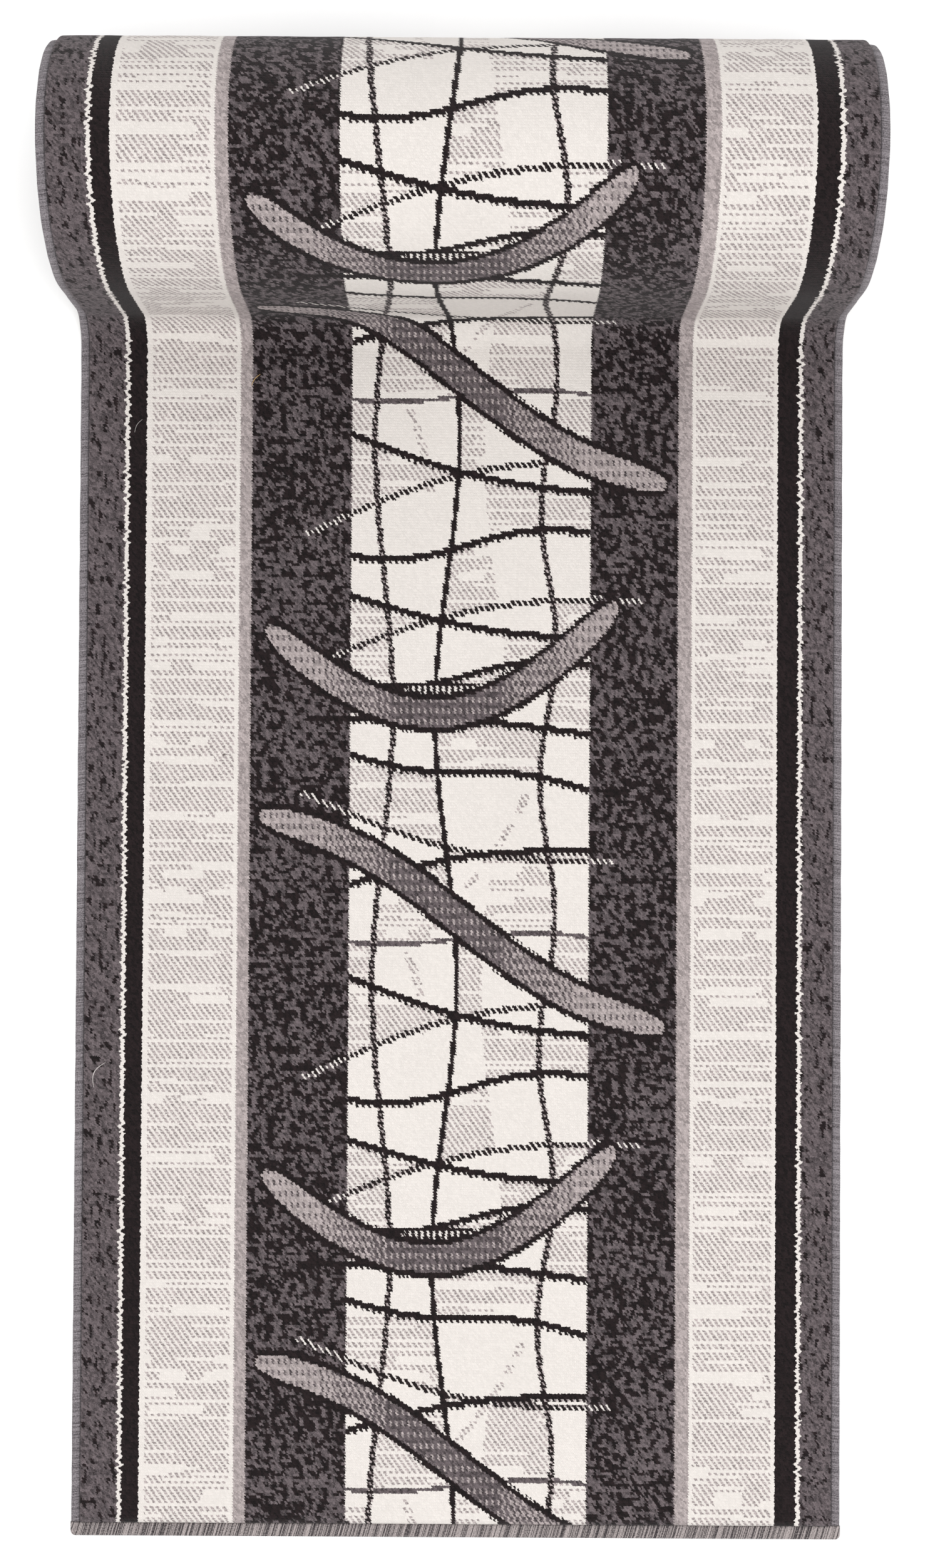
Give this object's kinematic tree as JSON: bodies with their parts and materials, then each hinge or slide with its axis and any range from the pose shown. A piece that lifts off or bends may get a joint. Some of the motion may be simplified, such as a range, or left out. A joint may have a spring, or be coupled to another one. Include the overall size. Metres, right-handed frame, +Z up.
{
  "type": "runner rug",
  "caption": "Long narrow woven runner rug with bound edges, laid flat along the floor with its far end rolled up, pile outwards.",
  "frame": {"origin": "middle of the floor area under the whole object, at floor level", "axes": "+X across the runner, +Y along it from the free end towards the roll, +Z up out of the pile"},
  "size_m": [0.8, 1.5146, 0.2641],
  "materials": {
    "pile_yarn": "short cut pile of heat-set polypropylene yarn, matt, woven in ivory, light grey, dark grey and black",
    "ground_weave": "plain ground weave of natural-coloured weft and polyester warp, matt",
    "overlock_yarn": "dense overlock stitching in heathered grey yarn, matt"
  },
  "bodies": {
    "root": {"pile_face": "pile_yarn", "backing": "ground_weave", "edge_binding_left": "overlock_yarn", "edge_binding_right": "overlock_yarn", "end_binding_front": "overlock_yarn", "end_binding_inner": "overlock_yarn"}
  },
  "joints": []
}
